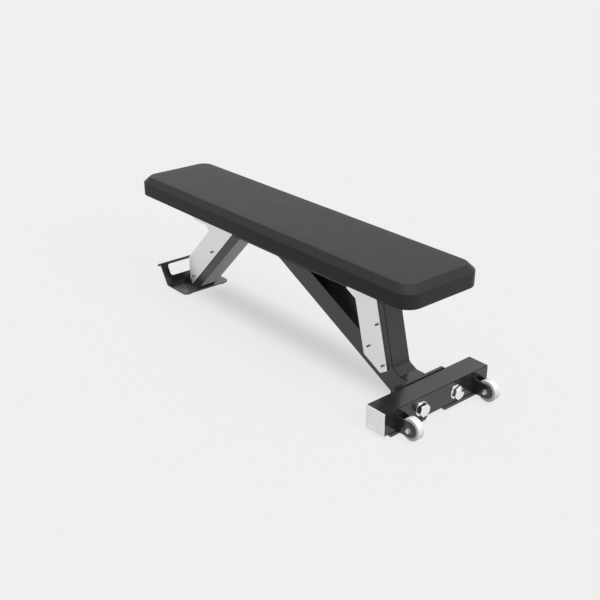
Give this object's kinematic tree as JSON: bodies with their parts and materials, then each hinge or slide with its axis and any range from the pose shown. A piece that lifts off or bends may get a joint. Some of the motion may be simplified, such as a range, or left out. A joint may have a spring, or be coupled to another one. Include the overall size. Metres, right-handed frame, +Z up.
{
  "type": "flat weight bench",
  "caption": "Flat weight bench: bevelled pad on a square-tube frame with bright side plates, a bent rear foot with a hand-hold, a bolted cross tube and transport wheels.",
  "frame": {"origin": "on the floor, under the middle of the bench's box", "axes": "+Z up, +X towards the transport wheels, +Y to the left of someone facing the wheels"},
  "size_m": [1.388, 0.4286, 0.42],
  "materials": {
    "upholstery": "black artificial leather, fine grain, satin",
    "plywood": "plywood stained black, open grain",
    "zinc_steel": "bright zinc plate",
    "frame_paint": "black paint, glossy, smooth",
    "side_plate_steel": "satin stainless sheet",
    "screw_steel": "blackened steel, socket head",
    "chromed_steel": "bright chrome plate",
    "black_plastic": "moulded black polypropylene",
    "silver_cap": "silver moulded cap, satin gloss",
    "black_rubber": "moulded black rubber",
    "white_tyre": "white polyurethane tread",
    "white_nylon": "white nylon",
    "acetal": "white acetal"
  },
  "bodies": {
    "frame": {"axle_bolt_left": "zinc_steel", "axle_bolt_right": "zinc_steel", "axle_nut_left": "zinc_steel", "axle_nut_right": "zinc_steel", "axle_sleeve_left": "zinc_steel", "axle_sleeve_right": "zinc_steel", "axle_washers_left": "zinc_steel", "axle_washers_right": "zinc_steel", "cross_foot_left": "black_rubber", "cross_foot_right": "black_rubber", "cross_foot_screws": "zinc_steel", "cross_tube": "frame_paint", "end_cap_left": "silver_cap", "end_cap_right": "silver_cap", "flange_bolts": "chromed_steel", "flange_nuts": "chromed_steel", "flange_plate": "frame_paint", "flange_washers": "chromed_steel", "front_post": "frame_paint", "front_side_plate_left": "side_plate_steel", "front_side_plate_right": "side_plate_steel", "pad_board": "plywood", "pad_bolts": "zinc_steel", "pad_bracket_front": "frame_paint", "pad_bracket_middle": "frame_paint", "pad_bracket_rear": "frame_paint", "pad_cushion": "upholstery", "pad_tee_nuts": "zinc_steel", "pad_washers": "zinc_steel", "plate_screws": "screw_steel", "rail_plug_front": "black_plastic", "rail_plug_rear": "black_plastic", "rear_foot": "frame_paint", "rear_foot_discs": "black_rubber", "rear_foot_screws": "zinc_steel", "rear_leg": "frame_paint", "rear_side_plate_left": "side_plate_steel", "rear_side_plate_right": "side_plate_steel", "spine_foot": "frame_paint", "spine_tube": "frame_paint", "top_rail": "frame_paint", "wheel_fork_left": "frame_paint", "wheel_fork_right": "frame_paint"},
    "wheel_left": {"wheel_tyre_left": "white_tyre", "wheel_core_left": "white_nylon", "wheel_bush_left": "acetal"},
    "wheel_right": {"wheel_tyre_right": "white_tyre", "wheel_core_right": "white_nylon", "wheel_bush_right": "acetal"}
  },
  "joints": [
    {"name": "wheel_left_spin", "type": "hinge", "parent": "frame", "child": "wheel_left", "pos_m": [0.6615, 0.157, 0.0385], "axis": [0, 1, 0], "continuous": true},
    {"name": "wheel_right_spin", "type": "hinge", "parent": "frame", "child": "wheel_right", "pos_m": [0.6615, -0.157, 0.0385], "axis": [0, 1, 0], "continuous": true}
  ]
}
